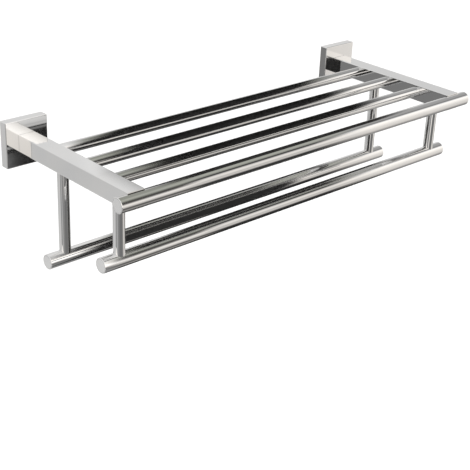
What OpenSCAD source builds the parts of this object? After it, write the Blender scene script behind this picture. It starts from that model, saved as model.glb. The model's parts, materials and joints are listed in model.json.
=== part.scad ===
// Wall-mounted towel rack: two square arms carry a shelf of round tubes with a
// larger front rail, and four posts under the arms carry two towel bars.
// X runs along the wall, +Y points into the wall and +Z is up. The origin is on
// the wall, midway between the arms and level with their centre lines.

/* [Overall] */
// Distance between the centre lines of the two arms
arm_spacing = 472; // [300:1:700]
// Distance from the wall to the axis of the front rail
rail_reach = 194; // [160:1:260]
// Length of the front rail and the towel bars past the outer face of each arm
end_overhang = 12; // [10:0.5:30]

/* [Wall plates and brackets] */
// Width and height of the square wall plate
plate_size = 50; // [44:1:70]
// Depth of the wall plate, from the wall to its front face
plate_depth = 10; // [9:0.5:16]
// Thickness of the wall plate's four sides
plate_side = 3; // [2.5:0.1:4]
// Thickness of the wall plate's front wall
plate_front = 3; // [2.4:0.1:4]
// Radius on the wall plate's front edges and corners
plate_edge = 0.8; // [0.3:0.1:1.5]
// Thickness of the wall bracket's steel
bracket_t = 2; // [1.5:0.1:2.5]
// Width of the wall bracket
bracket_w = 30; // [24:1:36]
// Distance between the bracket's upper and lower wall screw holes
wall_hole_spacing = 28; // [26:0.5:30]
// Diameter of the wall screw holes
wall_hole_d = 4.5; // [4:0.1:6]
// Diameter of the bracket's central opening, which clears the arm bolt
bracket_window_d = 14; // [12:0.5:16]
// Diameter of the set screw that locks the plate on its bracket
set_screw_d = 4; // [3:0.5:5]

/* [Arms] */
// Width of each arm
arm_w = 20; // [18:0.5:28]
// Height of the arm's top face above the front rail, and the same below it
arm_lip = 1.5; // [1.3:0.1:3]
// Wall thickness of the arm's square tube
arm_wall = 1.2; // [1:0.05:1.25]
// Radius on the arm's long edges
arm_edge = 1; // [0.4:0.1:1.1]
// Depth of the recess in the wall plate that the arm's end sits in
arm_seat = 1; // [0.5:0.1:1.2]
// Length of the solid block in the wall end of the arm
base_block_len = 22; // [16:1:26]
// Length of the solid block behind the front rail
front_block_len = 12; // [11:0.5:16]
// Diameter of the bolt that holds the arm on its wall plate
arm_bolt_d = 6; // [5:0.5:8]
// Thickness of the base block that the bolt's hole leaves whole
bolt_hole_end = 4; // [2:0.5:6]

/* [Shelf] */
// Outer diameter of the front rail
rail_d = 16; // [14:0.5:22]
// Outer diameter of the shelf tubes
shelf_tube_d = 12; // [10:0.5:14.5]
// Wall thickness of the rail, the towel bars and the shelf tubes
tube_wall = 1.2; // [0.8:0.1:1.5]
// Distance from the front of the wall plate to the axis of the first shelf tube
first_tube_gap = 43; // [38:1:60]
// Length of each end plug of the rail and the towel bars past the arm's centre line
plug_past = 8; // [6:1:14]
// Diameter of the screw that holds the front rail on its arm
rail_screw_d = 5; // [4:0.5:6]

/* [Posts and towel bars] */
// Diameter of the posts
post_d = 12; // [10:0.5:14]
// Distance from the first shelf tube's axis forward to the rear post's axis
rear_post_offset = 21; // [16:0.5:24]
// Height from the arm's centre line down to the front towel bar's axis
front_bar_drop = 73; // [50:1:120]
// Height from the arm's centre line down to the rear towel bar's axis
rear_bar_drop = 107; // [60:1:160]
// Outer diameter of the towel bars
bar_d = 16; // [14:0.5:20]
// Diameter of the stud on top of each post
post_stud_d = 6; // [5:0.5:6]
// Width across the square nut on each post's stud
post_nut_w = 10; // [9.5:0.5:12]
// Height of the square nut on each post's stud
post_nut_h = 5; // [4:0.5:6]
// Space between the front block and the front post's nut
post_nut_gap = 2; // [1:0.5:6]
// Diameter of the screw that holds a towel bar on its post
bar_screw_d = 4; // [3:0.5:5]
// Depth of that screw in the post
bar_screw_bite = 12; // [8:1:20]

/* [Clearances] */
// Gap all round between a block or plug and the tube that it fills
plug_gap = 0.1; // [0.05:0.05:0.2]
// Radial gap between a screw and its threaded hole
thread_gap = 0.05; // [0.03:0.01:0.1]
// Radial gap between a screw and a plain hole, and at the ends of a shelf tube
hole_gap = 0.2; // [0.1:0.05:0.3]
// Radial gap between a shelf tube and its hole in the arm
tube_gap = 0.1; // [0.05:0.05:0.2]
// Gap between a round tube and the hollow end that seats on it
seat_gap = 0.05; // [0.02:0.01:0.1]
// Gap between the wall plate's inside and its bracket
bracket_gap = 0.3; // [0.2:0.1:0.5]
// Gap between the bracket's flanges and the inside of the plate's front wall
bracket_front_gap = 1; // [0.5:0.1:1.5]

/* [Hidden] */
$fn = 64;
CUT = 1;          // how far a cutting shape runs past the face it opens
HEAD_RATIO = 1.7; // screw head diameter over shank diameter
HEAD_HIGH = 0.55; // screw head height over shank diameter
HEX_RATIO = 0.6;  // hexagon socket width over shank diameter
SOCKET = 0.7;     // depth of a hexagon socket over the head's height
CHAMFER = 0.4;    // bevel on the ends of the rail and the towel bars
SET_RECESS = 0.3; // how far the plate's set screw sits inside the plate
HEAD_SUNK = 1;    // how far a towel bar's screw head sits inside the bar
HOLE_SPARE = 2;   // depth of a blind threaded hole past the end of its screw
STUD_SPARE = 0.5; // height of a post's stud above its nut
NOSE = 0.5;       // reach of the front block past the rail's back, over rail_r

shelf_tubes = 3;
arm_x = arm_spacing / 2;
bar_len = arm_spacing + arm_w + 2 * end_overhang;
rail_r = rail_d / 2;
bar_r = bar_d / 2;
tube_r = shelf_tube_d / 2;
arm_h = rail_d + 2 * arm_lip;
cavity_w = arm_w - 2 * arm_wall;
cavity_h = arm_h - 2 * arm_wall;

plate_y = -plate_depth;
arm_rear_y = plate_y + arm_seat;
rail_y = -rail_reach;
first_tube_y = plate_y - first_tube_gap;
shelf_pitch = (rail_reach + first_tube_y) / shelf_tubes;
shelf_z = rail_r - tube_r;
seat_y = rail_y + rail_r + seat_gap;
front_block_y = seat_y + front_block_len;
front_post_y = front_block_y + post_nut_gap + post_nut_w / 2;
rear_post_y = first_tube_y - rear_post_offset;
cavity_floor = -cavity_h / 2;
plug_len = end_overhang + arm_w / 2 + plug_past;
bracket_deep = plate_depth - plate_front - bracket_front_gap;
set_screw_y = -(bracket_deep + bracket_t) / 2;
bolt_bite = base_block_len - bolt_hole_end - HOLE_SPARE;
rail_head_depth = front_block_len / 2;
bar_head_depth = HEAD_HIGH * bar_screw_d + HEAD_SUNK;

// ---- Shared shapes ----

// A rectangle about the origin with round corners.
module round_rect(w, h, r) {
    square([w - 2 * r, h], center = true);
    square([w, h - 2 * r], center = true);
    for (x = [-1, 1], y = [-1, 1])
        translate([x * (w / 2 - r), y * (h / 2 - r)]) circle(r);
}

// A rectangle from v = 0 to v = depth whose two far corners are round.
module round_front(w, depth, r) {
    translate([-w / 2, 0]) square([w, depth - r]);
    translate([r - w / 2, 0]) square([w - 2 * r, depth]);
    for (x = [-1, 1])
        translate([x * (w / 2 - r), depth - r]) circle(r);
}

// Stands an outline drawn in X and Z along Y, from y_rear forward by depth.
module along_y(y_rear, depth) {
    translate([0, y_rear, 0]) rotate([90, 0, 0]) linear_extrude(depth) children();
}

// A rod along X, centred on x.
module rod_x(len, r, x = 0) {
    translate([x - len / 2, 0, 0]) rotate([0, 90, 0]) cylinder(h = len, r = r);
}

// A rod along Y, from y_rear forward by len.
module rod_y(y_rear, len, r) {
    translate([0, y_rear, 0]) rotate([90, 0, 0]) cylinder(h = len, r = r);
}

// A rod up Z from z.
module rod_z(z, len, r) {
    translate([0, 0, z]) cylinder(h = len, r = r);
}

// A round tube along X with bevelled ends.
module tube_x(len, r) {
    rotate([0, 90, 0]) rotate_extrude() polygon([
        [r - tube_wall, -len / 2], [r - CHAMFER, -len / 2], [r, CHAMFER - len / 2],
        [r, len / 2 - CHAMFER], [r - CHAMFER, len / 2], [r - tube_wall, len / 2]
    ]);
}

// A screw standing up Z with its head's underside at z = 0 and a hexagon socket.
module socket_screw(d, len) {
    difference() {
        union() {
            rod_z(-HEAD_HIGH * d, HEAD_HIGH * d, HEAD_RATIO * d / 2);
            cylinder(h = len, r = d / 2);
        }
        translate([0, 0, -HEAD_HIGH * d - CUT])
            cylinder(h = CUT + SOCKET * HEAD_HIGH * d, r = HEX_RATIO * d / 2, $fn = 6);
    }
}

// Moves its children to one arm: side is -1 for the left and 1 for the right.
module at_arm(side) {
    translate([side * arm_x, 0, 0]) children();
}

// The position along Y of one shelf tube's axis, counted from the rear.
function tube_y(i) = first_tube_y - i * shelf_pitch;

// ---- Wall fixing ----

// The steel channel that is screwed to the wall and hidden by the wall plate.
module wall_bracket(side) {
    high = plate_size - 2 * plate_side - 2 * bracket_gap;
    hollow = bracket_deep - bracket_t;
    color("lightsteelblue") at_arm(side) difference() {
        translate([-bracket_w / 2, -bracket_deep, -high / 2])
            cube([bracket_w, bracket_deep, high]);
        translate([-bracket_w / 2 - CUT, -bracket_deep - CUT, bracket_t - high / 2])
            cube([bracket_w + 2 * CUT, hollow + CUT, high - 2 * bracket_t]);
        rod_y(CUT, bracket_t + 2 * CUT, bracket_window_d / 2);
        for (z = [-1, 1] * wall_hole_spacing / 2)
            translate([0, 0, z]) rod_y(CUT, bracket_t + 2 * CUT, wall_hole_d / 2);
    }
}

// The square cover at the wall, open at the back, with the arm's seat in front.
module wall_plate(side) {
    inside = plate_size - 2 * plate_side;
    color("gainsboro") at_arm(side) difference() {
        intersection() {
            along_y(0, plate_depth) round_rect(plate_size, plate_size, plate_edge);
            translate([0, 0, -plate_size / 2]) mirror([0, 1, 0])
                linear_extrude(plate_size) round_front(plate_size, plate_depth, plate_edge);
            translate([-plate_size / 2, 0, 0]) rotate([0, 90, 0]) mirror([0, 1, 0])
                linear_extrude(plate_size) round_front(plate_size, plate_depth, plate_edge);
        }
        translate([-inside / 2, plate_front - plate_depth, -inside / 2])
            cube([inside, plate_depth, inside]);
        along_y(arm_rear_y, arm_seat + CUT)
            round_rect(arm_w + 2 * plug_gap, arm_h + 2 * plug_gap, arm_edge + plug_gap);
        rod_y(0, plate_depth + CUT, arm_bolt_d / 2 + hole_gap);
        translate([0, set_screw_y, 0])
            rod_z(-plate_size / 2 - CUT, plate_side + 2 * CUT, set_screw_d / 2 + thread_gap);
    }
}

// The small headless screw in the plate's underside, tight against the bracket.
module plate_set_screw(side) {
    len = plate_side + bracket_gap - SET_RECESS;
    color("dimgray") at_arm(side) translate([0, set_screw_y, SET_RECESS - plate_size / 2])
        difference() {
            cylinder(h = len, r = set_screw_d / 2);
            translate([0, 0, -CUT])
                cylinder(h = CUT + len / 2, r = HEX_RATIO * set_screw_d / 2, $fn = 6);
        }
}

// The bolt from inside the wall plate into the block in the arm.
module arm_bolt(side) {
    len = plate_front - arm_seat + bolt_bite;
    color("dimgray") at_arm(side) translate([0, plate_front - plate_depth, 0])
        rotate([90, 0, 0]) socket_screw(arm_bolt_d, len);
}

// ---- Arms ----

// The square tube, hollowed in front to sit on the rail.
module arm(side) {
    len = rail_reach + arm_rear_y;
    color("silver") at_arm(side) difference() {
        along_y(arm_rear_y, len) round_rect(arm_w, arm_h, arm_edge);
        along_y(arm_rear_y + CUT, len + 2 * CUT) square([cavity_w, cavity_h], center = true);
        translate([0, rail_y, 0]) rod_x(arm_w + 2 * CUT, rail_r + seat_gap);
        for (i = [0 : shelf_tubes - 1]) translate([0, tube_y(i), shelf_z])
            rod_x(arm_w / 2 + CUT, tube_r + tube_gap, -side * (arm_w / 2 + CUT) / 2);
        for (y = [front_post_y, rear_post_y]) translate([0, y, 0])
            rod_z(-arm_h / 2 - CUT, arm_wall + 2 * CUT, post_stud_d / 2 + hole_gap);
    }
}

// The tapped block in the wall end of the arm.
module arm_base_block(side) {
    color("darkgray") at_arm(side) difference() {
        along_y(arm_rear_y, base_block_len)
            square([cavity_w - 2 * plug_gap, cavity_h - 2 * plug_gap], center = true);
        rod_y(arm_rear_y + CUT, CUT + bolt_bite + HOLE_SPARE, arm_bolt_d / 2 + thread_gap);
    }
}

// The block behind the rail, bored for the rail's screw and its head.
module arm_front_block(side) {
    nose = NOSE * rail_r;
    head_r = HEAD_RATIO * rail_screw_d / 2 + hole_gap;
    color("darkgray") at_arm(side) difference() {
        along_y(front_block_y, front_block_len + nose)
            square([cavity_w - 2 * plug_gap, cavity_h - 2 * plug_gap], center = true);
        translate([0, rail_y, 0]) rod_x(arm_w, rail_r + seat_gap);
        rod_y(front_block_y + CUT, front_block_len + nose + CUT, rail_screw_d / 2 + hole_gap);
        rod_y(front_block_y + CUT, rail_head_depth + CUT, head_r);
    }
}

// ---- Front rail ----

// The screw from inside the arm through the block into the rail's plug.
module rail_screw(side) {
    len = front_block_len - rail_head_depth + seat_gap + rail_r;
    color("dimgray") at_arm(side) translate([0, front_block_y - rail_head_depth, 0])
        rotate([90, 0, 0]) socket_screw(rail_screw_d, len);
}

// The large round tube along the front of the shelf.
module front_rail() {
    color("whitesmoke") translate([0, rail_y, 0]) difference() {
        tube_x(bar_len, rail_r);
        for (side = [-1, 1]) at_arm(side)
            rod_y(rail_r + CUT, rail_r + CUT, rail_screw_d / 2 + hole_gap);
    }
}

// A solid plug flush with the end of the rail or of a towel bar.
module end_plug(side, r) {
    translate([side * (bar_len - plug_len) / 2, 0, 0])
        rod_x(plug_len, r - tube_wall - plug_gap);
}

// The rail's plug, with the threaded hole for the rail's screw.
module rail_plug(side) {
    color("lightgray") translate([0, rail_y, 0]) difference() {
        end_plug(side, rail_r);
        at_arm(side) rod_y(rail_r, rail_r + HOLE_SPARE, rail_screw_d / 2 + thread_gap);
    }
}

// ---- Shelf tubes ----

// One of the three tubes, whose ends are held inside the arms.
module shelf_tube(i) {
    len = arm_spacing + cavity_w - 2 * hole_gap;
    color("silver") translate([0, tube_y(i), shelf_z]) rotate([0, 90, 0])
        difference() {
            cylinder(h = len, r = tube_r, center = true);
            cylinder(h = len + 2 * CUT, r = tube_r - tube_wall, center = true);
        }
}

// ---- Posts ----

// A square nut inside the arm for each of the two posts.
module post_nuts(side) {
    color("dimgray") at_arm(side) for (y = [front_post_y, rear_post_y])
        translate([0, y, cavity_floor]) difference() {
            translate([-post_nut_w / 2, -post_nut_w / 2, 0])
                cube([post_nut_w, post_nut_w, post_nut_h]);
            rod_z(-CUT, post_nut_h + 2 * CUT, post_stud_d / 2 + thread_gap);
        }
}

// A round post with a stud on top, hollowed below to sit on its towel bar.
module post(side, y, drop) {
    stud_top = cavity_floor + post_nut_h + STUD_SPARE;
    color("silver") at_arm(side) translate([0, y, 0]) difference() {
        union() {
            rod_z(-drop, drop - arm_h / 2, post_d / 2);
            rod_z(-drop, drop + stud_top, post_stud_d / 2);
        }
        translate([0, 0, -drop]) rod_x(post_d + 2 * CUT, bar_r + seat_gap);
        rod_z(-drop, bar_r + bar_screw_bite + HOLE_SPARE, bar_screw_d / 2 + thread_gap);
    }
}

// ---- Towel bars ----

// A round bar with a screw hole through it under each post.
module towel_bar(y, drop) {
    color("whitesmoke") translate([0, y, -drop]) difference() {
        tube_x(bar_len, bar_r);
        for (side = [-1, 1]) at_arm(side) bar_screw_hole();
    }
}

// A towel bar's plug, with the same screw hole through it as the bar.
module bar_plug(side, y, drop) {
    color("lightgray") translate([0, y, -drop]) difference() {
        end_plug(side, bar_r);
        at_arm(side) bar_screw_hole();
    }
}

// The hole up through a towel bar, with the pocket for the screw's head.
module bar_screw_hole() {
    head_r = HEAD_RATIO * bar_screw_d / 2 + hole_gap;
    rod_z(-bar_r - CUT, bar_d + 2 * CUT, bar_screw_d / 2 + hole_gap);
    rod_z(-bar_r - CUT, CUT + bar_head_depth, head_r);
}

// The two screws up through the towel bars into the posts.
module bar_screws(side) {
    len = bar_d - bar_head_depth + bar_screw_bite;
    places = [[front_post_y, front_bar_drop], [rear_post_y, rear_bar_drop]];
    color("dimgray") at_arm(side) for (p = places)
        translate([0, p[0], bar_head_depth - bar_r - p[1]]) socket_screw(bar_screw_d, len);
}

wall_bracket(-1);  // wall_bracket_left
wall_bracket(1);  // wall_bracket_right
wall_plate(-1);  // wall_plate_left
wall_plate(1);  // wall_plate_right
plate_set_screw(-1);  // plate_set_screw_left
plate_set_screw(1);  // plate_set_screw_right
arm_bolt(-1);  // arm_bolt_left
arm_bolt(1);  // arm_bolt_right
arm(-1);  // arm_left
arm(1);  // arm_right
arm_base_block(-1);  // arm_base_block_left
arm_base_block(1);  // arm_base_block_right
arm_front_block(-1);  // arm_front_block_left
arm_front_block(1);  // arm_front_block_right
rail_screw(-1);  // rail_screw_left
rail_screw(1);  // rail_screw_right
front_rail();
rail_plug(-1);  // rail_plug_left
rail_plug(1);  // rail_plug_right
shelf_tube(0);  // shelf_tube_rear
shelf_tube(1);  // shelf_tube_middle
shelf_tube(2);  // shelf_tube_front
post_nuts(-1);  // post_nuts_left
post_nuts(1);  // post_nuts_right
post(-1, front_post_y, front_bar_drop);  // post_front_left
post(1, front_post_y, front_bar_drop);  // post_front_right
post(-1, rear_post_y, rear_bar_drop);  // post_rear_left
post(1, rear_post_y, rear_bar_drop);  // post_rear_right
towel_bar(front_post_y, front_bar_drop);  // towel_bar_front
towel_bar(rear_post_y, rear_bar_drop);  // towel_bar_rear
bar_plug(-1, front_post_y, front_bar_drop);  // front_bar_plug_left
bar_plug(1, front_post_y, front_bar_drop);  // front_bar_plug_right
bar_plug(-1, rear_post_y, rear_bar_drop);  // rear_bar_plug_left
bar_plug(1, rear_post_y, rear_bar_drop);  // rear_bar_plug_right
bar_screws(-1);  // bar_screws_left
bar_screws(1);  // bar_screws_right
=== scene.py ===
"""Looks of a wall-mounted towel rack with a shelf of tubes and two towel bars.

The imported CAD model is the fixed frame: X runs along the wall, +Y points into the wall, +Z is up,
and every length is in metres. Polished pieces keep their CAD shape and take a polished finish.
"""

import json
import logging
import math
from dataclasses import dataclass, field
from enum import Enum

import bmesh
import bpy
from mathutils import Matrix, Vector


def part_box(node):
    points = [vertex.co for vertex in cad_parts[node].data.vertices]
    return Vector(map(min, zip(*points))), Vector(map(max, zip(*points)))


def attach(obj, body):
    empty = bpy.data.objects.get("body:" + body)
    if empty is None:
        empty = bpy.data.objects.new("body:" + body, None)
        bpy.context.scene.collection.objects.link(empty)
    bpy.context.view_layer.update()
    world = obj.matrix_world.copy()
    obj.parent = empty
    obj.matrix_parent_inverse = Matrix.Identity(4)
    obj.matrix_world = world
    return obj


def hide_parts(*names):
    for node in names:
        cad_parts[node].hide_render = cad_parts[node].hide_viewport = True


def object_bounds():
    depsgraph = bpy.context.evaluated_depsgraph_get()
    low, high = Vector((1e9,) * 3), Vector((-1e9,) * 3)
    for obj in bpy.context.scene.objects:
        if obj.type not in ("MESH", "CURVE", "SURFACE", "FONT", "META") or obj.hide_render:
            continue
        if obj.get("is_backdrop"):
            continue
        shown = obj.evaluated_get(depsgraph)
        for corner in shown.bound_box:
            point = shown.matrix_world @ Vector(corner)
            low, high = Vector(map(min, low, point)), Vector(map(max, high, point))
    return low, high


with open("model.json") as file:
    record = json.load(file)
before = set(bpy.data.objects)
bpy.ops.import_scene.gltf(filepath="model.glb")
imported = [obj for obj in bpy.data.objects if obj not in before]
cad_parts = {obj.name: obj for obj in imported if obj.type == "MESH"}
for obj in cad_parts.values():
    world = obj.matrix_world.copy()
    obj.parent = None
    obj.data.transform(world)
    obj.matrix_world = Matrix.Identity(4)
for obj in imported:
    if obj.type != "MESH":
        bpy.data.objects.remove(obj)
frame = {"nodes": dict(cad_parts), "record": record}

Color = tuple[float, float, float]
Stops = tuple[tuple[float, Color], ...]
Socket = bpy.types.NodeSocket
LOG = logging.getLogger("towel_rack")
MM = 0.001
SIDES = ("left", "right")
ROUND_STEPS = 48
SPOT_DIGITS = 7


class Grain(Enum):
    """How the fine lines of a finish lie, as the pattern's scale along X, Y and Z."""

    ALONG_X = (0.02, 1.0, 1.0)
    ALONG_Y = (1.0, 0.02, 1.0)
    ALONG_Z = (1.0, 1.0, 0.02)
    ROUND_X = (1.0, 0.02, 0.02)
    ROUND_Z = (0.02, 0.02, 1.0)
    NONE = (1.0, 1.0, 1.0)


class Join(Enum):
    """How closed shapes are put together."""

    UNION = "UNION"
    DIFFERENCE = "DIFFERENCE"
    INTERSECT = "INTERSECT"


class NodeBench:
    """Adds nodes to one tree and wires them up."""

    def __init__(self, tree: bpy.types.NodeTree) -> None:
        """Starts on a tree with nothing in it.

        Args:
            tree: The node tree to fill.
        """
        self.tree = tree
        tree.nodes.clear()

    def add(self, kind: str, **settings: object) -> bpy.types.Node:
        """Adds a node and sets its options.

        Args:
            kind: The node's type name.
            **settings: Options of the node and their values.

        Returns:
            The new node.
        """
        node = self.tree.nodes.new(kind)
        for name, value in settings.items():
            setattr(node, name, value)
        return node

    def wire(self, source: Socket, target: Socket) -> None:
        """Links an output socket to an input socket."""
        self.tree.links.new(source, target)

    def feed(self, value: object, target: Socket) -> None:
        """Fills an input socket.

        Args:
            value: A plain value, or an output socket to link.
            target: The input socket.
        """
        if isinstance(value, Socket):
            self.wire(value, target)
        else:
            target.default_value = value

    def split(self, source: Socket) -> tuple[Socket, ...]:
        """Gives the X, Y and Z of a vector.

        Args:
            source: The vector's socket.

        Returns:
            The three sockets.
        """
        node = self.add("ShaderNodeSeparateXYZ")
        self.wire(source, node.inputs["Vector"])
        return tuple(node.outputs)

    def math(self, operation: str, *values: object, clamp: bool = False) -> Socket:
        """Adds a Math node.

        Args:
            operation: The operation's name.
            *values: Numbers, or sockets to link.
            clamp: Whether the result stays between 0 and 1.

        Returns:
            The result's socket.
        """
        node = self.add("ShaderNodeMath", operation=operation, use_clamp=clamp)
        for socket, value in zip(node.inputs, values):
            self.feed(value, socket)
        return node.outputs[0]

    def vector_math(self, operation: str, *values: object) -> bpy.types.Node:
        """Adds a Vector Math node.

        Args:
            operation: The operation's name.
            *values: Vectors, or sockets to link.

        Returns:
            The node, whose result is a vector or a single value.
        """
        node = self.add("ShaderNodeVectorMath", operation=operation)
        for socket, value in zip(node.inputs, values):
            self.feed(value, socket)
        return node

    def remap(
        self, value: Socket, start: float, end: float, low: float = 0.0, high: float = 1.0
    ) -> Socket:
        """Maps a range of values smoothly to another.

        Args:
            value: The socket to map.
            start: Where the source range starts.
            end: Where the source range ends.
            low: The result at the start.
            high: The result at the end.

        Returns:
            The result's socket.
        """
        node = self.add("ShaderNodeMapRange", interpolation_type="SMOOTHSTEP")
        self.wire(value, node.inputs["Value"])
        node.inputs["From Min"].default_value = start
        node.inputs["From Max"].default_value = end
        node.inputs["To Min"].default_value = low
        node.inputs["To Max"].default_value = high
        return node.outputs["Result"]

    def blend(self, factor: Socket, first: object, second: object) -> Socket:
        """Blends two colours.

        Args:
            factor: 0 for the first colour and 1 for the second.
            first: A colour, or a socket to link.
            second: A colour, or a socket to link.

        Returns:
            The blended colour's socket.
        """
        node = self.add("ShaderNodeMix", data_type="RGBA")
        self.wire(factor, node.inputs["Factor"])
        colours = [s for s in node.inputs if s.type == "RGBA"]
        for socket, value in zip(colours, (first, second)):
            self.feed((*value, 1.0) if isinstance(value, tuple) else value, socket)
        return next(s for s in node.outputs if s.type == "RGBA")

    def mix_shaders(self, *sources: Socket) -> Socket:
        """Mixes two shaders.

        Args:
            *sources: The share of the second shader, then the first and the second shader.

        Returns:
            The mixed shader's socket.
        """
        node = self.add("ShaderNodeMixShader")
        for source, socket in zip(sources, node.inputs):
            self.wire(source, socket)
        return node.outputs["Shader"]


@dataclass(frozen=True)
class Steel:
    """A steel surface: its tone, how dull it is, and the fine lines left by its finishing."""

    name: str
    tone: Color
    stain: Color
    grain: Grain
    dull: tuple[float, float]
    line_scale: float = 2600.0
    line_detail: float = 2.0
    line_depth: float = 0.0015 * MM
    line_strength: float = 0.5
    line_share: float = 0.6
    cloud_scale: float = 24.0
    cloud_detail: float = 3.0
    noise_span: tuple[float, float] = (0.35, 0.65)

    def make(self) -> bpy.types.Material:
        """Builds the material.

        Returns:
            The finished material.
        """
        material = bpy.data.materials.new(f"{self.name}_finish")
        material.use_nodes = True
        bench = NodeBench(material.node_tree)
        out = bench.add("ShaderNodeOutputMaterial")
        shader = bench.add("ShaderNodeBsdfPrincipled")
        bench.wire(shader.outputs["BSDF"], out.inputs["Surface"])
        shader.inputs["Metallic"].default_value = 1.0
        place = bench.add("ShaderNodeTexCoord").outputs["Object"]
        clouds = self.pattern(bench, place, Grain.NONE, self.cloud_scale, self.cloud_detail)
        lines = self.lines(bench, place)
        tint = bench.remap(clouds, *self.noise_span)
        bench.wire(bench.blend(tint, self.tone, self.stain), shader.inputs["Base Color"])
        cloudy = bench.math("MULTIPLY", clouds, 1.0 - self.line_share)
        worn = bench.math("MULTIPLY_ADD", lines, self.line_share, cloudy)
        bench.wire(bench.remap(worn, *self.noise_span, *self.dull), shader.inputs["Roughness"])
        bench.wire(self._relief(bench, lines), shader.inputs["Normal"])
        return material

    def lines(self, bench: NodeBench, place: Socket) -> Socket:
        """Adds the fine lines, drawn out along the grain."""
        return self.pattern(bench, place, self.grain, self.line_scale, self.line_detail)

    def pattern(
        self, bench: NodeBench, place: Socket, grain: Grain, scale: float, detail: float
    ) -> Socket:
        """Adds a noise pattern drawn out along a grain.

        Args:
            bench: The material's bench.
            place: The coordinates' socket.
            grain: How the pattern is drawn out.
            scale: How fine the pattern is, per metre.
            detail: How many finer layers it has.

        Returns:
            The pattern's socket.
        """
        mapping = bench.add("ShaderNodeMapping")
        bench.wire(place, mapping.inputs["Vector"])
        mapping.inputs["Scale"].default_value = grain.value
        noise = bench.add("ShaderNodeTexNoise")
        bench.wire(mapping.outputs["Vector"], noise.inputs["Vector"])
        noise.inputs["Scale"].default_value = scale
        noise.inputs["Detail"].default_value = detail
        return noise.outputs["Fac"]

    def _relief(self, bench: NodeBench, lines: Socket) -> Socket:
        """Adds the relief of the fine lines.

        Args:
            bench: The material's bench.
            lines: The fine lines' pattern.

        Returns:
            The bumped normal's socket.
        """
        bump = bench.add("ShaderNodeBump")
        bench.wire(lines, bump.inputs["Height"])
        bump.inputs["Strength"].default_value = self.line_strength
        bump.inputs["Distance"].default_value = self.line_depth
        return bump.outputs["Normal"]


@dataclass(frozen=True)
class TurnedSteel(Steel):
    """A steel face turned about an axis along X, with its fine lines in rings."""

    line_scale: float = 5200.0
    line_depth: float = 0.004 * MM
    centre: tuple[float, float, float] = (0.0, 0.0, 0.0)

    def lines(self, bench: NodeBench, place: Socket) -> Socket:
        """Adds fine rings about the axis.

        Args:
            bench: The material's bench.
            place: The coordinates' socket.

        Returns:
            The pattern's socket.
        """
        offset = bench.vector_math("SUBTRACT", place, self.centre)
        across_x = bench.vector_math("MULTIPLY", offset.outputs["Vector"], (0.0, 1.0, 1.0))
        reach = bench.vector_math("LENGTH", across_x.outputs["Vector"])
        rings = bench.add("ShaderNodeTexNoise", noise_dimensions="1D")
        bench.wire(reach.outputs["Value"], rings.inputs["W"])
        rings.inputs["Scale"].default_value = self.line_scale
        rings.inputs["Detail"].default_value = self.line_detail
        return rings.outputs["Fac"]


POLISHED = (0.87, 0.862, 0.85)
POLISHED_STAIN = (0.845, 0.842, 0.838)
MIRROR = (0.025, 0.06)
TURNED = (0.93, 0.925, 0.915)
TURNED_STAIN = (0.89, 0.885, 0.88)
SATIN = (0.10, 0.20)
FINISHES = {
    finish.name: finish
    for finish in (
        Steel("polished_plate", POLISHED, POLISHED_STAIN, Grain.ALONG_X, MIRROR),
        Steel("polished_arm", POLISHED, POLISHED_STAIN, Grain.ALONG_Y, MIRROR),
        Steel("polished_tube", POLISHED, POLISHED_STAIN, Grain.ROUND_X, MIRROR),
        Steel("polished_post", POLISHED, POLISHED_STAIN, Grain.ROUND_Z, MIRROR),
        Steel(
            "bracket_steel",
            tone=(0.60, 0.61, 0.62),
            stain=(0.50, 0.51, 0.51),
            grain=Grain.ALONG_Z,
            dull=(0.30, 0.48),
            line_depth=0.01 * MM,
        ),
        Steel(
            "block_steel",
            tone=(0.58, 0.58, 0.57),
            stain=(0.49, 0.49, 0.48),
            grain=Grain.ALONG_X,
            dull=(0.26, 0.40),
            line_scale=1500.0,
            line_depth=0.01 * MM,
        ),
        Steel(
            "fastener_steel",
            tone=(0.60, 0.595, 0.58),
            stain=(0.48, 0.475, 0.46),
            grain=Grain.NONE,
            dull=(0.20, 0.34),
            line_depth=0.004 * MM,
        ),
    )
}


@dataclass
class FinishBook:
    """Makes each finish once and dresses pieces with it."""

    made: dict[str, bpy.types.Material] = field(default_factory=dict)

    def material(self, finish: Steel) -> bpy.types.Material:
        """Gives a finish's material, made the first time that it is asked for.

        Args:
            finish: The finish.

        Returns:
            Its material.
        """
        if finish.name not in self.made:
            self.made[finish.name] = finish.make()
        return self.made[finish.name]

    def dress(self, piece: bpy.types.Object, finish: Steel) -> None:
        """Puts one finish all over a piece."""
        piece.data.materials.clear()
        piece.data.materials.append(self.material(finish))

    def turned_end(self, name: str, plug: str) -> Steel:
        """Gives the finish of a bar's end, with its rings about that bar's axis.

        Args:
            name: The finish's name.
            plug: The CAD node of one of the bar's plugs.

        Returns:
            The finish.
        """
        low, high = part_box(plug)
        centre = (0.0, (low.y + high.y) / 2, (low.z + high.z) / 2)
        return TurnedSteel(name, TURNED, TURNED_STAIN, Grain.NONE, SATIN, centre=centre)


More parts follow.
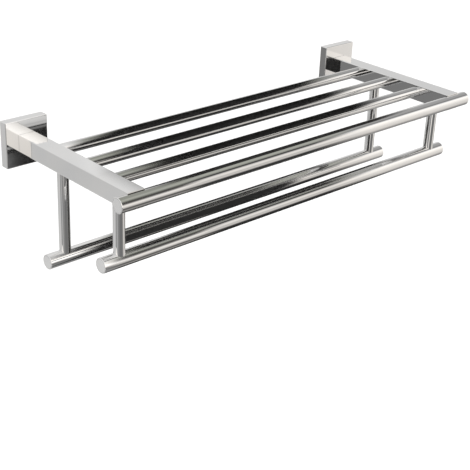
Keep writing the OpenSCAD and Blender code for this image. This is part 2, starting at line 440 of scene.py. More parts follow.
@dataclass
class ShapeTree:
    """A Geometry Nodes tree whose sizes are named inputs."""

    name: str
    sizes: dict[str, str]

    def __post_init__(self) -> None:
        """Makes the tree with its inputs and its output."""
        self.tree = bpy.data.node_groups.new(self.name, "GeometryNodeTree")
        face = self.tree.interface
        face.new_socket("Geometry", in_out="INPUT", socket_type="NodeSocketGeometry")
        for size, kind in self.sizes.items():
            face.new_socket(size, in_out="INPUT", socket_type=f"NodeSocket{kind}")
        face.new_socket("Geometry", in_out="OUTPUT", socket_type="NodeSocketGeometry")
        self.bench = NodeBench(self.tree)
        self.given = self.bench.add("NodeGroupInput").outputs
        self.result = self.bench.add("NodeGroupOutput").inputs["Geometry"]

    def shape(
        self, kind: str, output: str, inputs: dict[str, object], **settings: object
    ) -> Socket:
        """Adds a node, fills its inputs and gives one of its outputs.

        Args:
            kind: The node's type name.
            output: The output's name.
            inputs: Values or sockets by input name.
            **settings: Options of the node and their values.

        Returns:
            The output socket.
        """
        node = self.bench.add(kind, **settings)
        for name, value in inputs.items():
            self.bench.feed(value, node.inputs[name])
        return node.outputs[output]

    def raised(self, part: Socket, height: Socket, times: float = 1.0) -> Socket:
        """Moves a shape up Z.

        Args:
            part: The shape's socket.
            height: The height's socket.
            times: How many times the height to move it, below 0 for down.

        Returns:
            The moved shape's socket.
        """
        rise = self.bench.math("MULTIPLY", height, times)
        shift = self.shape("ShaderNodeCombineXYZ", "Vector", {"Z": rise})
        moved = {"Geometry": part, "Translation": shift}
        return self.shape("GeometryNodeTransform", "Geometry", moved)

    def join(self, kind: Join, *parts: Socket) -> Socket:
        """Joins closed shapes, or cuts the later ones out of the first.

        Args:
            kind: How they are put together.
            *parts: The shapes' sockets.

        Returns:
            The result's socket.
        """
        node = self.bench.add("GeometryNodeMeshBoolean", operation=kind.value, solver="EXACT")
        rest = parts
        if kind is Join.DIFFERENCE:
            self.bench.wire(parts[0], node.inputs["Mesh 1"])
            rest = parts[1:]
        for part in rest:
            self.bench.wire(part, node.inputs["Mesh 2"])
        return node.outputs["Mesh"]

    def finish(self, shape: Socket) -> bpy.types.NodeTree:
        """Puts the shape at every point of the piece and dresses it.

        Args:
            shape: One shape's socket.

        Returns:
            The finished tree.
        """
        turn = self.shape("FunctionNodeEulerToRotation", "Rotation", {"Euler": self.given["Turn"]})
        places = {"Points": self.given["Geometry"], "Instance": shape, "Rotation": turn}
        copies = self.shape("GeometryNodeInstanceOnPoints", "Instances", places)
        solid = self.shape("GeometryNodeRealizeInstances", "Geometry", {"Geometry": copies})
        dressed = {"Geometry": solid, "Material": self.given["Finish"]}
        self.bench.wire(self.shape("GeometryNodeSetMaterial", "Geometry", dressed), self.result)
        return self.tree


class Thread:
    """A threaded rod up Z, with the ridge running out at both ends."""

    COLUMNS = 36
    ROWS_PER_TURN = 8
    FLANK_SLOPE = 3.0
    GROOVE_OFFSET = 0.25
    RUN_OUT_TURNS = 1.2
    MERGE = 0.001 * MM

    @classmethod
    def add(cls, tree: ShapeTree, length: Socket) -> Socket:
        """Adds the rod to a tree that has the inputs Radius, Thread Height and Pitch.

        Args:
            tree: The tree that it goes in.
            length: Length of the rod.

        Returns:
            The rod's socket.
        """
        # The sheet's rows follow the ridge. It is one turn taller than the rod, and what stands
        # past either end is pressed flat there.
        bench, given = tree.bench, tree.given
        depth = given["Thread Height"]
        core = bench.math("SUBTRACT", given["Radius"], depth)
        turns = bench.math("ROUND", bench.math("DIVIDE", length, given["Pitch"]))
        rows = bench.math("MULTIPLY", bench.math("ADD", turns, 1.0), float(cls.ROWS_PER_TURN))
        flat = {"Size X": 1.0, "Size Y": 1.0, "Vertices X": cls.COLUMNS + 1}
        flat["Vertices Y"] = bench.math("ADD", rows, 1.0)
        sheet = tree.shape("GeometryNodeMeshGrid", "Mesh", flat)
        across, along, _ = bench.split(bench.add("GeometryNodeInputPosition").outputs["Position"])
        turn = bench.math("ADD", across, 0.5)
        laps = bench.math("DIVIDE", rows, float(cls.ROWS_PER_TURN))
        row = bench.math("MULTIPLY", bench.math("ADD", along, 0.5), laps)
        rise = bench.math("ADD", bench.math("SUBTRACT", row, 1.0), turn)
        climb = bench.math("MINIMUM", bench.math("MAXIMUM", rise, 0.0), turns)
        wave = bench.math("PINGPONG", row, 0.5)
        crest = bench.math("MULTIPLY_ADD", wave, cls.FLANK_SLOPE, -cls.GROOVE_OFFSET, clamp=True)
        start = bench.remap(climb, 0.0, cls.RUN_OUT_TURNS)
        left = bench.math("SUBTRACT", turns, climb)
        end = bench.remap(left, 0.0, cls.RUN_OUT_TURNS)
        ridge = bench.math("MULTIPLY", bench.math("MULTIPLY", crest, start), end)
        reach = bench.math("MULTIPLY_ADD", ridge, depth, core)
        angle = bench.math("MULTIPLY", turn, 2 * math.pi)
        step = bench.math("DIVIDE", length, turns)
        place = {
            "X": bench.math("MULTIPLY", reach, bench.math("COSINE", angle)),
            "Y": bench.math("MULTIPLY", reach, bench.math("SINE", angle)),
            "Z": bench.math("MULTIPLY", climb, step),
        }
        spot = tree.shape("ShaderNodeCombineXYZ", "Vector", place)
        rolled = {"Geometry": sheet, "Position": spot}
        wall = tree.shape("GeometryNodeSetPosition", "Geometry", rolled)
        lid = {"Vertices": cls.COLUMNS, "Radius": core}
        disc = tree.shape("GeometryNodeMeshCircle", "Mesh", lid, fill_type="NGON")
        top = tree.raised(disc, length)
        bottom = tree.shape("GeometryNodeFlipFaces", "Mesh", {"Mesh": disc})
        shell = bench.add("GeometryNodeJoinGeometry")
        for part in (wall, top, bottom):
            bench.wire(part, shell.inputs["Geometry"])
        merged = {"Geometry": shell.outputs["Geometry"], "Distance": cls.MERGE}
        return tree.shape("GeometryNodeMergeByDistance", "Geometry", merged)


def solids(node: str) -> list[tuple[Vector, Vector]]:
    """Gives the box of each separate solid in a CAD node.

    Args:
        node: The CAD node's name.

    Returns:
        The lowest and highest corner of each solid, in order along Y.
    """
    mesh = frame["nodes"][node].data
    spots = [tuple(round(c, SPOT_DIGITS) for c in v.co) for v in mesh.vertices]
    owner = {spot: spot for spot in spots}

    def root(spot: tuple[float, ...]) -> tuple[float, ...]:
        """Follows a spot to the one that stands for its solid.

        Args:
            spot: The spot to start from.

        Returns:
            The spot that stands for the solid.
        """
        while owner[spot] != spot:
            spot = owner[spot]
        return spot

    for face in mesh.polygons:
        first, *others = [root(spots[i]) for i in face.vertices]
        for other in others:
            owner[root(other)] = root(first)
    groups: dict[tuple[float, ...], list[tuple[float, ...]]] = {}
    for spot in owner:
        groups.setdefault(root(spot), []).append(spot)
    boxes = [
        (Vector(min(axis) for axis in zip(*group)), Vector(max(axis) for axis in zip(*group)))
        for group in groups.values()
    ]
    return sorted(boxes, key=lambda box: box[0].y)


def add_object(name: str, data: bpy.types.ID) -> bpy.types.Object:
    """Makes an object and puts it in the scene.

    Args:
        name: The object's name.
        data: Its mesh, camera or lamp.

    Returns:
        The object.
    """
    made = bpy.data.objects.new(name, data)
    bpy.context.scene.collection.objects.link(made)
    return made


def settle(piece: bpy.types.Object, sharp: float = 32.0) -> None:
    """Turns a piece with modifiers into a plain mesh with smooth round surfaces.

    Args:
        piece: The piece.
        sharp: The angle in degrees past which an edge stays sharp.
    """
    bpy.context.view_layer.update()
    graph = bpy.context.evaluated_depsgraph_get()
    mesh = bpy.data.meshes.new_from_object(piece.evaluated_get(graph))
    piece.modifiers.clear()
    piece.data = mesh
    mesh.materials.clear()
    mesh.polygons.foreach_set("material_index", [0] * len(mesh.polygons))
    mesh.shade_smooth()
    mesh.set_sharp_from_angle(angle=math.radians(sharp))


@dataclass
class Repeated:
    """One shape from a Geometry Nodes tree, set at each place of a CAD node's solids."""

    node: str
    tree: bpy.types.NodeTree
    sizes: dict[str, object]
    places: list[Vector]

    def build(self, book: FinishBook, slot: str) -> None:
        """Makes the piece that stands for the node.

        Args:
            book: The finishes.
            slot: The record's slot that the finish comes from.
        """
        mesh = bpy.data.meshes.new(f"{self.node}_places")
        mesh.from_pydata(self.places, [], [])
        piece = add_object(f"{self.node}_detailed", mesh)
        modifier = piece.modifiers.new("shape", "NODES")
        modifier.node_group = self.tree
        given = {**self.sizes, "Finish": book.material(FINISHES[slot])}
        for socket in self.tree.interface.items_tree:
            if socket.in_out == "INPUT" and socket.name in given:
                modifier[socket.identifier] = given[socket.name]
        settle(piece)
        book.dress(piece, FINISHES[slot])
        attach(piece, "root")
        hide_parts(self.node)
        LOG.info("%s: %d triangles", piece.name, len(piece.data.polygons))


@dataclass
class ThreadSizes:
    """How a thread's sizes follow from the diameter of its screw."""

    pitch_ratio: float = 0.17
    height_ratio: float = 0.6

    def given(self, diameter: float) -> dict[str, float]:
        """Gives the inputs of a tree with a thread.

        Args:
            diameter: The screw's diameter.

        Returns:
            The inputs' names and values.
        """
        pitch = self.pitch_ratio * diameter
        height = self.height_ratio * pitch
        return {"Radius": diameter / 2, "Pitch": pitch, "Thread Height": height}


@dataclass
class ScrewMaker:
    """Makes screws and bolts with a thread, a bevelled head and a hexagon socket."""

    book: FinishBook
    thread: ThreadSizes = field(default_factory=ThreadSizes)
    head_ratio: float = 1.7
    head_high: float = 0.55
    head_bevel: float = 0.1
    hex_ratio: float = 0.6
    socket_deep: float = 0.7
    head_overlap: float = 0.25
    lead: float = 0.3 * MM
    lead_ratio: float = 0.94

    def __post_init__(self) -> None:
        """Makes the tree that all the screws share."""
        self.tree = self._screw_tree()

    def _screw_tree(self) -> bpy.types.NodeTree:
        """Makes the tree of a screw that stands up Z with its head below.

        Returns:
            The tree.
        """
        floats = (
            "Radius",
            "Thread Height",
            "Pitch",
            "Length",
            "Head Radius",
            "Head Height",
            "Head Edge",
            "Socket Radius",
            "Socket Depth",
        )
        sizes = {name: "Float" for name in floats}
        tree = ShapeTree("socket_screw", {**sizes, "Turn": "Vector", "Finish": "Material"})
        bench, given = tree.bench, tree.given
        sink = bench.math("MULTIPLY", given["Head Height"], self.head_overlap)
        length = bench.math("ADD", given["Length"], sink)
        rod = Thread.add(tree, length)
        shank = tree.raised(rod, sink, -1.0)
        high = bench.math("SUBTRACT", given["Head Height"], given["Head Edge"])
        straight = {"Vertices": ROUND_STEPS, "Radius": given["Head Radius"], "Depth": high}
        drum = tree.shape("GeometryNodeMeshCylinder", "Mesh", straight)
        head = tree.raised(drum, high, -0.5)
        rim = tree.shape(
            "GeometryNodeMeshCone",
            "Mesh",
            {
                "Vertices": ROUND_STEPS,
                "Radius Top": given["Head Radius"],
                "Radius Bottom": bench.math("SUBTRACT", given["Head Radius"], given["Head Edge"]),
                "Depth": given["Head Edge"],
            },
        )
        face = tree.raised(rim, given["Head Height"], -1.0)
        hexagon = tree.shape(
            "GeometryNodeMeshCylinder",
            "Mesh",
            {
                "Vertices": 6,
                "Radius": given["Socket Radius"],
                "Depth": bench.math("MULTIPLY", given["Socket Depth"], 2.0),
            },
        )
        socket = tree.raised(hexagon, given["Head Height"], -1.0)
        body = tree.join(Join.UNION, shank, head, face)
        return tree.finish(tree.join(Join.DIFFERENCE, body, socket))

    def headed(self, node: str, up: bool) -> None:
        """Makes a node's headed screws.

        Args:
            node: The CAD node.
            up: Whether they point up, or away from the wall.
        """
        boxes = solids(node)
        low, high = boxes[0]
        head = (high.x - low.x) / 2
        diameter = 2 * head / self.head_ratio
        tall = self.head_high * diameter
        middles = [(a + b) / 2 for a, b in boxes]
        if up:
            reach = high.z - low.z
            places = [Vector((m.x, m.y, a.z + tall)) for m, (a, _) in zip(middles, boxes)]
        else:
            reach = high.y - low.y
            places = [Vector((m.x, b.y - tall, m.z)) for m, (_, b) in zip(middles, boxes)]
        sizes = {
            **self.thread.given(diameter),
            "Length": reach - tall,
            "Head Radius": head,
            "Head Height": tall,
            "Head Edge": self.head_bevel * tall,
            "Socket Radius": self.hex_ratio * diameter / 2,
            "Socket Depth": self.socket_deep * tall,
            "Turn": (0.0 if up else math.pi / 2, 0.0, 0.0),
        }
        Repeated(node, self.tree, sizes, places).build(self.book, "fastener_steel")

    def headless(self, node: str) -> None:
        """Makes a headless screw that points up and takes its key from below.

        Args:
            node: The CAD node.
        """
        low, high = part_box(node)
        diameter = high.x - low.x
        thread = self.thread.given(diameter)
        tall = high.z - low.z
        sizes = {
            **thread,
            "Length": tall - self.lead,
            "Head Radius": self.lead_ratio * (diameter / 2 - thread["Thread Height"]),
            "Head Height": self.lead,
            "Head Edge": self.lead / 3,
            "Socket Radius": self.hex_ratio * diameter / 2,
            "Socket Depth": tall / 2,
            "Turn": (0.0, 0.0, 0.0),
        }
        middle = (low + high) / 2
        place = Vector((middle.x, middle.y, low.z + self.lead))
        Repeated(node, self.tree, sizes, [place]).build(self.book, "fastener_steel")


@dataclass
class NutMaker:
    """Makes square nuts with a thread and corners that are turned down on top."""

    book: FinishBook
    thread: ThreadSizes = field(default_factory=ThreadSizes)
    stud_ratio: float = 0.6
    crown_ratio: float = 0.54
    crown_slope: float = 1.7
    crown_steps: int = 64
    tap_past: float = 2.0

    def __post_init__(self) -> None:
        """Makes the tree that all the nuts share."""
        self.tree = self._nut_tree()

    def _nut_tree(self) -> bpy.types.NodeTree:
        """Makes the tree of a square nut that stands up Z.

        Returns:
            The tree.
        """
        floats = ("Width", "Height", "Radius", "Thread Height", "Pitch")
        sizes = {name: "Float" for name in floats}
        tree = ShapeTree("square_nut", {**sizes, "Turn": "Vector", "Finish": "Material"})
        bench, given = tree.bench, tree.given
        spans = {"X": given["Width"], "Y": given["Width"], "Z": given["Height"]}
        block = tree.shape("ShaderNodeCombineXYZ", "Vector", spans)
        cube = tree.shape("GeometryNodeMeshCube", "Mesh", {"Size": block})
        standing = tree.raised(cube, given["Height"], 0.5)
        crown_top = bench.math("MULTIPLY", given["Width"], self.crown_ratio)
        slope = bench.math("MULTIPLY_ADD", given["Height"], self.crown_slope, crown_top)
        crown = tree.shape(
            "GeometryNodeMeshCone",
            "Mesh",
            {
                "Vertices": self.crown_steps,
                "Radius Top": crown_top,
                "Radius Bottom": slope,
                "Depth": given["Height"],
            },
        )
        over = bench.math("MULTIPLY", given["Pitch"], self.tap_past)
        length = bench.math("MULTIPLY_ADD", over, 2.0, given["Height"])
        tap = Thread.add(tree, length)
        cutter = tree.raised(tap, over, -1.0)
        body = tree.join(Join.INTERSECT, standing, crown)
        return tree.finish(tree.join(Join.DIFFERENCE, body, cutter))

    def square(self, node: str) -> None:
        """Makes a node's square nuts.

        Args:
            node: The CAD node.
        """
        boxes = solids(node)
        low, high = boxes[0]
        wide = high.x - low.x
        sizes = {
            **self.thread.given(self.stud_ratio * wide),
            "Width": wide,
            "Height": high.z - low.z,
            "Turn": (0.0, 0.0, 0.0),
        }
        middles = [(a + b) / 2 for a, b in boxes]
        places = [Vector((m.x, m.y, a.z)) for m, (a, _) in zip(middles, boxes)]
        Repeated(node, self.tree, sizes, places).build(self.book, "fastener_steel")


@dataclass
class SubAssembly:
    """A group of the rack's pieces that goes together."""

    book: FinishBook

    def dress(self, *nodes: str, finish: Steel | None = None) -> None:
        """Puts a finish on CAD nodes, which keep their shape.

        Args:
            *nodes: The nodes' names.
            finish: Their finish, or None for the one that their slot names.
        """
        for node in nodes:
            piece = frame["nodes"][node]
            chosen = finish or FINISHES[piece.data.materials[0].name]
            self.book.dress(piece, chosen)
            LOG.info("%s: %s", node, chosen.name)


@dataclass
class WallFixing(SubAssembly):
    """The wall plates, the bent channels inside them, and the plates' screws and bolts."""

    screws: ScrewMaker
    sheet: float = 2.0 * MM
    bend: float = 2.6 * MM
    window: float = 14.0 * MM
    break_edge: float = 0.2 * MM
    break_angle: float = 50.0
    bend_steps: int = 8

    def build(self) -> None:
        """Makes both sides of the wall fixing."""
        for side in SIDES:
            self.dress(f"wall_plate_{side}")
            self._bracket(f"wall_bracket_{side}")
            self.screws.headless(f"plate_set_screw_{side}")
            self.screws.headed(f"arm_bolt_{side}", up=False)

    def _section(self, deep: float, high: float) -> list[tuple[float, float]]:
        """Draws the channel's section in Y and Z.

        Args:
            deep: Length of the flanges from the wall.
            high: Half of the height.

        Returns:
            The outline's points.
        """
        steps = [math.pi / 2 * i / self.bend_steps for i in range(self.bend_steps + 1)]
        inner = self.bend - self.sheet
        outside = [
            (self.bend * (math.sin(a) - 1), high - self.bend * (1 - math.cos(a))) for a in steps
        ]
        inside = [
            (inner * math.sin(a) - self.bend, high - self.bend + inner * math.cos(a)) for a in steps
        ]
        upper = [(-deep, high), *outside]
        lower = [(y, -z) for y, z in reversed(upper)]
        upper_inside = [*reversed(inside), (-deep, high - self.sheet)]
        lower_inside = [(y, -z) for y, z in reversed(upper_inside)]
        return [*upper, *lower, *lower_inside, *upper_inside]

    def _bracket(self, node: str) -> None:
        """Makes one bracket and its holes.

        Args:
            node: The CAD node.
        """
        low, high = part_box(node)
        outline = self._section(high.y - low.y, high.z)
        count = len(outline)
        points = [(x, y, z) for x in (low.x, high.x) for y, z in outline]
        sides = [(i, i + count, (i + 1) % count + count, (i + 1) % count) for i in range(count)]
        ends = [tuple(range(count)), tuple(reversed(range(count, 2 * count)))]
        mesh = bpy.data.meshes.new(node)
        mesh.from_pydata(points, [], sides + ends)
        self._face_outward(mesh)
        piece = add_object(f"{node}_detailed", mesh)
        drill = self._drill((low.x + high.x) / 2)
        holes = piece.modifiers.new("holes", "BOOLEAN")
        holes.solver = "EXACT"
        holes.object = drill
        edges = piece.modifiers.new("broken_edges", "BEVEL")
        edges.width = self.break_edge
        edges.segments = 1
        edges.limit_method = "ANGLE"
        edges.angle_limit = math.radians(self.break_angle)
        settle(piece)
        bpy.data.objects.remove(drill)
        self.book.dress(piece, FINISHES["bracket_steel"])
        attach(piece, "root")
        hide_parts(node)
        LOG.info("%s: %d faces", piece.name, len(piece.data.polygons))

    def _face_outward(self, mesh: bpy.types.Mesh) -> None:
        """Turns every face of a closed mesh outwards.

        Args:
            mesh: The mesh to change.
        """
        work = bmesh.new()
        work.from_mesh(mesh)
        bmesh.ops.recalc_face_normals(work, faces=work.faces)
        work.to_mesh(mesh)
        work.free()

    def _drill(self, x: float) -> bpy.types.Object:
        """Makes the cutter for the two wall holes and the central window.

        Args:
            x: The bracket's middle.

        Returns:
            The cutter, to be removed after use.
        """
        fixing = next(m for m in frame["record"]["mounts"] if m["kind"] == "bolt_pattern")
        hole = fixing["dims"]["hole_r_mm"] * MM
        rise = fixing["dims"]["spacing_y_mm"] * MM / 2
        work = bmesh.new()
        for z, radius in ((-rise, hole), (0.0, self.window / 2), (rise, hole)):
            place = Matrix.Translation((x, 0.0, z)) @ Matrix.Rotation(math.pi / 2, 4, "X")
            bmesh.ops.create_cone(
                work,
                cap_ends=True,
                segments=ROUND_STEPS,
                radius1=radius,
                radius2=radius,
                depth=4 * self.sheet,
                matrix=place,
            )
        mesh = bpy.data.meshes.new("drill")
        work.to_mesh(mesh)
        work.free()
        return add_object("drill", mesh)


@dataclass
class Arms(SubAssembly):
    """The two square arms, the blocks inside them, and the screws that hold the rail."""

    screws: ScrewMaker

    def build(self) -> None:
        """Makes both arms."""
        for side in SIDES:
            self.dress(f"arm_{side}", f"arm_base_block_{side}", f"arm_front_block_{side}")
            self.screws.headed(f"rail_screw_{side}", up=False)


@dataclass
class Shelf(SubAssembly):
    """The front rail with its end plugs, and the three shelf tubes behind it."""

    tubes: tuple[str, ...] = ("rear", "middle", "front")

    def build(self) -> None:
        """Makes the shelf."""
        self.dress("front_rail", *(f"shelf_tube_{place}" for place in self.tubes))
        ends = [f"rail_plug_{side}" for side in SIDES]
        self.dress(*ends, finish=self.book.turned_end("rail_end", ends[0]))


@dataclass
class TowelBars(SubAssembly):
    """The posts under the arms, their nuts, and the two towel bars with their plugs."""

    screws: ScrewMaker
    nuts: NutMaker
    rows: tuple[str, ...] = ("front", "rear")

    def build(self) -> None:
        """Makes both towel bars and all that holds them."""
        for row in self.rows:
            self.dress(f"towel_bar_{row}", *(f"post_{row}_{side}" for side in SIDES))
            ends = [f"{row}_bar_plug_{side}" for side in SIDES]
            self.dress(*ends, finish=self.book.turned_end(f"{row}_bar_end", ends[0]))
        for side in SIDES:
            self.nuts.square(f"post_nuts_{side}")
            self.screws.headed(f"bar_screws_{side}", up=True)


@dataclass(frozen=True)
class Ring:
    """The light met in a full turn round the X axis: behind, below, in front, above, behind."""

    stops: Stops

    def ramp(self, bench: NodeBench, turn: Socket) -> Socket:
        """Paints the ring.

        Args:
            bench: The world's bench.
            turn: The angle's socket, where 0 to 1 is -180 to 180 degrees.

        Returns:
            The light's colour socket.
        """
        ramp = bench.add("ShaderNodeValToRGB")
        bench.wire(turn, ramp.inputs["Fac"])
        elements = ramp.color_ramp.elements
        elements.remove(elements[1])
        for index, (angle, light) in enumerate(self.stops):
            spot = angle / 360.0 + 0.5
            stop = elements[0] if index == 0 else elements.new(spot)
            stop.position = spot
            stop.color = (*light, 1.0)
        return ramp.outputs["Color"]


def grey(level: float) -> Color:
    """A neutral light."""
    return (level, level, level)


def cream(level: float) -> Color:
    """A slightly warm light."""
    return (level, 0.965 * level, 0.925 * level)


def sage(level: float) -> Color:
    """A slightly green light."""
    return (0.98 * level, level, 0.90 * level)


BACK_RIGHT = ((-180, grey(0.60)), (-150, grey(0.55)))
TOP_RIGHT = ((138, grey(0.55)), (150, grey(0.83)), (180, grey(0.80)))
BACK_PANEL = (
    (-180, grey(0.62)),
    (-157, grey(0.60)),
    (-153, grey(0.57)),
    (-147, grey(0.68)),
    (-124, grey(0.66)),
    (-104, grey(0.42)),
    (-90, grey(0.31)),
    (-62, grey(0.30)),
)
BRIGHT_TOP = (
    (30, cream(1.35)),
    (70, grey(0.90)),
    (140, grey(0.78)),
    (156, grey(0.76)),
    (180, grey(0.70)),
)
RINGS = {
    "left": (
        (-180, grey(0.24)),
        (-150, grey(0.20)),
        (-142, grey(0.62)),
        *BACK_PANEL[4:],
        (-53, grey(0.66)),
        (-45, grey(0.33)),
        (-28, grey(0.24)),
        (-20, cream(1.15)),
        *BRIGHT_TOP,
    ),
    "side": (
        *BACK_PANEL,
        (-53, grey(0.66)),
        (-45, grey(0.33)),
        (-28, grey(0.24)),
        (-25, cream(0.97)),
        (20, cream(1.20)),
        (27, grey(0.10)),
        (60, grey(0.10)),
        *BRIGHT_TOP[1:],
    ),
    "front": (
        *BACK_PANEL,
        (-45, grey(0.22)),
        (-18, grey(0.17)),
        (-4, cream(1.10)),
        (12, grey(1.60)),
        *BRIGHT_TOP,
    ),
    "middle": (
        *BACK_RIGHT,
        (-126, grey(0.20)),
        (-104, grey(0.05)),
        (-88, grey(0.18)),
        (-75, cream(0.38)),
        (-62, cream(0.18)),
        (-48, cream(0.09)),
        (-38, cream(0.25)),
        (-28, cream(0.64)),
        (-4, cream(0.96)),
        (5, cream(0.80)),
        (15, cream(0.26)),
        (24, cream(0.09)),
        (37, cream(0.07)),
        (48, sage(0.20)),
        (62, sage(0.42)),
        (76, sage(0.45)),
        (90, sage(0.33)),
        (126, sage(0.32)),
        *TOP_RIGHT,
    ),
    "centre": (
        *BACK_RIGHT,
        (-126, grey(0.25)),
        (-106, grey(0.14)),
        (-86, grey(0.05)),
        (-60, grey(0.025)),
        (-50, grey(0.08)),
        (-42, cream(0.30)),
        (-30, cream(0.70)),
        (-14, cream(0.56)),
        (2, cream(0.82)),
        (18, cream(0.90)),
        (29, cream(0.60)),
        (37, grey(0.14)),
        (44, grey(0.04)),
        (51, grey(0.08)),
        (61, sage(0.30)),
        (74, sage(0.44)),
        (88, sage(0.45)),
        (104, sage(0.32)),
        (126, grey(0.32)),
        *TOP_RIGHT,
    ),
    "far": (
        (-180, grey(0.60)),
        (-150, grey(0.50)),
        (-107, grey(0.20)),
        (-90, grey(0.28)),
        (-74, cream(0.38)),
        (-50, cream(0.72)),
        (-12, cream(0.86)),
        (5, cream(1.0)),
        (38, cream(1.25)),
        (50, grey(0.95)),
        (64, grey(0.24)),
        (72, grey(0.24)),
        (82, grey(0.37)),
        (133, grey(0.42)),
        (150, grey(0.68)),
        (166, grey(0.78)),
        (180, grey(0.75)),
    ),
}
RING_JOINS = (
    ("side", -0.70, -0.64),
    ("front", -0.46, -0.34),
    ("middle", 0.515, 0.535),
    ("centre", 0.588, 0.612),
    ("far", 0.685, 0.730),
)


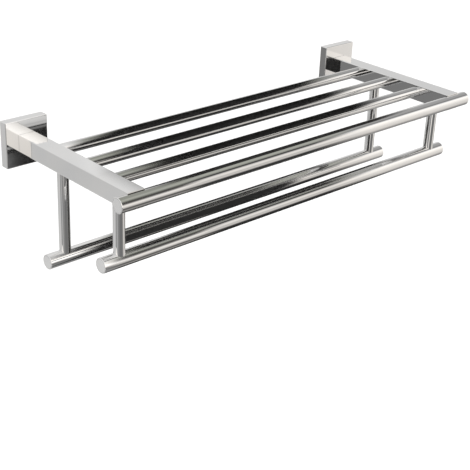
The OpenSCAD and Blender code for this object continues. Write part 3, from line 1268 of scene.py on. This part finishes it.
@dataclass
class Studio:
    """The camera, the floor, and the soft light all round that the steel reflects."""

    centre: Vector
    lens: float = 84.08
    distance: float = 1.2406
    aim_offset: Vector = field(default_factory=lambda: Vector((-0.0376, -0.0176, -0.0793)))
    heading: float = 43.34
    pitch: float = 25.92
    roll: float = 2.55
    floor_drop: float = 0.72
    floor_size: float = 120.0
    floor_grey: float = 0.93
    floor_dull: float = 0.9
    backdrop_power: float = 1.05
    lamp_power: float = 1.3
    lamp_spread: float = 100.0
    flag_grey: float = 0.03
    flag_fade: float = 0.07
    flag_span: tuple[float, float] = (-0.185, 0.185)
    flag_gap: float = 2 * MM
    stack_gap: float = 4 * MM
    stack_high: float = 48 * MM
    hang_long: float = 240 * MM
    fold_thick: float = 6 * MM
    fold_high: float = 12 * MM

    def build(self) -> None:
        """Sets up the whole studio."""
        bpy.context.scene.view_settings.view_transform = "Standard"
        self._camera()
        self._floor()
        self._surround()
        self._lamps()
        self._flags()
        LOG.info("studio ready")

    def _camera(self) -> None:
        """Places the camera."""
        data = bpy.data.cameras.new("studio_camera")
        data.lens = self.lens
        camera = add_object("studio_camera", data)
        yaw, pitch = math.radians(self.heading), math.radians(self.pitch)
        ahead = Vector(
            (math.sin(yaw) * math.cos(pitch), math.cos(yaw) * math.cos(pitch), -math.sin(pitch))
        )
        right = Vector((math.cos(yaw), -math.sin(yaw), 0.0))
        turn = Matrix.Rotation(-math.radians(self.roll), 3, ahead)
        right = turn @ right
        up = right.cross(ahead)
        basis = Matrix((right, up, -ahead)).transposed()
        stand = self.centre + self.aim_offset - ahead * self.distance
        camera.matrix_world = Matrix.Translation(stand) @ basis.to_4x4()
        bpy.context.scene.camera = camera

    def _floor(self) -> None:
        """Lays the plain pale floor well below the rack."""
        half = self.floor_size / 2
        level = self.centre.z - self.floor_drop
        corners = [(-half, -half), (half, -half), (half, half), (-half, half)]
        mesh = bpy.data.meshes.new("floor")
        mesh.from_pydata([(x, y, level) for x, y in corners], [], [(0, 1, 2, 3)])
        floor = add_object("floor", mesh)
        material = bpy.data.materials.new("floor_paper")
        material.use_nodes = True
        shader = material.node_tree.nodes["Principled BSDF"]
        shader.inputs["Base Color"].default_value = (*grey(self.floor_grey), 1.0)
        shader.inputs["Roughness"].default_value = self.floor_dull
        mesh.materials.append(material)
        floor.visible_glossy = False
        floor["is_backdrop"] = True

    def _flags(self) -> None:
        """Hangs dark cards where towels lie and hang, to give the steel its dark bands."""
        cloth = self._flag_cloth()
        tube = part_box("shelf_tube_rear")
        top = tube[1].z + self.stack_gap
        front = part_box("front_rail")[1].y
        self._flag("flag_shelf", cloth, (front, top), (tube[1].y, top + self.stack_high))
        for bar in ("towel_bar_front", "towel_bar_rear"):
            low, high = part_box(bar)
            foot = low.z - self.hang_long
            under = (high.y, low.z - self.flag_gap)
            self._flag(f"flag_{bar}", cloth, (low.y, foot), under)
            behind = high.y + self.flag_gap
            above = (behind + self.fold_thick, high.z + self.fold_high)
            self._flag(f"flag_behind_{bar}", cloth, (behind, foot), above)

    def _flag(
        self,
        name: str,
        cloth: bpy.types.Material,
        low: tuple[float, float],
        high: tuple[float, float],
    ) -> None:
        """Makes one dark block along X, open at both ends, that only reflections see.

        Args:
            name: The flag's name.
            cloth: Its material.
            low: Its lowest Y and Z.
            high: Its highest Y and Z.
        """
        left, right = self.flag_span
        corners = [(low[0], low[1]), (high[0], low[1]), (high[0], high[1]), (low[0], high[1])]
        points = [(x, y, z) for x in (left, right) for y, z in corners]
        sides = [(i, (i + 1) % 4, (i + 1) % 4 + 4, i + 4) for i in range(4)]
        mesh = bpy.data.meshes.new(name)
        mesh.from_pydata(points, [], sides)
        mesh.materials.append(cloth)
        flag = add_object(name, mesh)
        flag.visible_camera = False
        flag.visible_diffuse = False
        flag.visible_shadow = False
        flag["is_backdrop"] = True

    def _flag_cloth(self) -> bpy.types.Material:
        """Makes the flags' dark cloth, which thins out towards both ends.

        Returns:
            The material.
        """
        material = bpy.data.materials.new("flag_cloth")
        material.use_nodes = True
        bench = NodeBench(material.node_tree)
        out = bench.add("ShaderNodeOutputMaterial")
        cloth = bench.add("ShaderNodeBsdfDiffuse")
        cloth.inputs["Color"].default_value = (*grey(self.flag_grey), 1.0)
        clear = bench.add("ShaderNodeBsdfTransparent")
        x, _, _ = bench.split(bench.add("ShaderNodeTexCoord").outputs["Object"])
        left, right = self.flag_span
        from_left = bench.remap(x, left, left + self.flag_fade)
        from_right = bench.remap(x, right - self.flag_fade, right, 1.0, 0.0)
        share = bench.math("MULTIPLY", from_left, from_right)
        mixed = bench.mix_shaders(share, clear.outputs["BSDF"], cloth.outputs["BSDF"])
        bench.wire(mixed, out.inputs["Surface"])
        return material

    def _surround(self) -> None:
        """Builds the soft surround: the camera sees plain white, and the steel sees panels."""
        world = bpy.data.worlds.new("surround")
        bpy.context.scene.world = world
        world.use_nodes = True
        bench = NodeBench(world.node_tree)
        out = bench.add("ShaderNodeOutputWorld")
        plain = bench.add("ShaderNodeBackground")
        plain.inputs["Color"].default_value = (*grey(1.0), 1.0)
        plain.inputs["Strength"].default_value = self.backdrop_power
        panels = bench.add("ShaderNodeBackground")
        bench.wire(self._panels(bench), panels.inputs["Color"])
        seen = bench.add("ShaderNodeLightPath").outputs["Is Camera Ray"]
        mixed = bench.mix_shaders(seen, panels.outputs["Background"], plain.outputs["Background"])
        bench.wire(mixed, out.inputs["Surface"])

    def _panels(self, bench: NodeBench) -> Socket:
        """Paints the surround by direction.

        Args:
            bench: The world's bench.

        Returns:
            The surround's colour socket.
        """
        x, y, z = bench.split(bench.add("ShaderNodeTexCoord").outputs["Generated"])
        angle = bench.math("ARCTAN2", z, bench.math("MULTIPLY", y, -1.0))
        turn = bench.math("MULTIPLY_ADD", angle, 0.5 / math.pi, 0.5)
        light = Ring(RINGS["left"]).ramp(bench, turn)
        for name, start, end in RING_JOINS:
            join = bench.remap(x, start, end)
            light = bench.blend(join, light, Ring(RINGS[name]).ramp(bench, turn))
        return light

    def _lamps(self) -> None:
        """Adds the broad soft lamp that lights the floor evenly."""
        data = bpy.data.lights.new("overhead", "SUN")
        data.energy = self.lamp_power
        data.angle = math.radians(self.lamp_spread)
        lamp = add_object("overhead", data)
        lamp.visible_glossy = False


def main() -> None:
    """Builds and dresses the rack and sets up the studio."""
    logging.basicConfig(level=logging.INFO, format="%(name)s: %(message)s")
    cad_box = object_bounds()
    book = FinishBook()
    screws = ScrewMaker(book)
    WallFixing(book, screws).build()
    Arms(book, screws).build()
    Shelf(book).build()
    TowelBars(book, screws, NutMaker(book)).build()
    Studio((cad_box[0] + cad_box[1]) / 2).build()


if __name__ == "__main__":
    main()
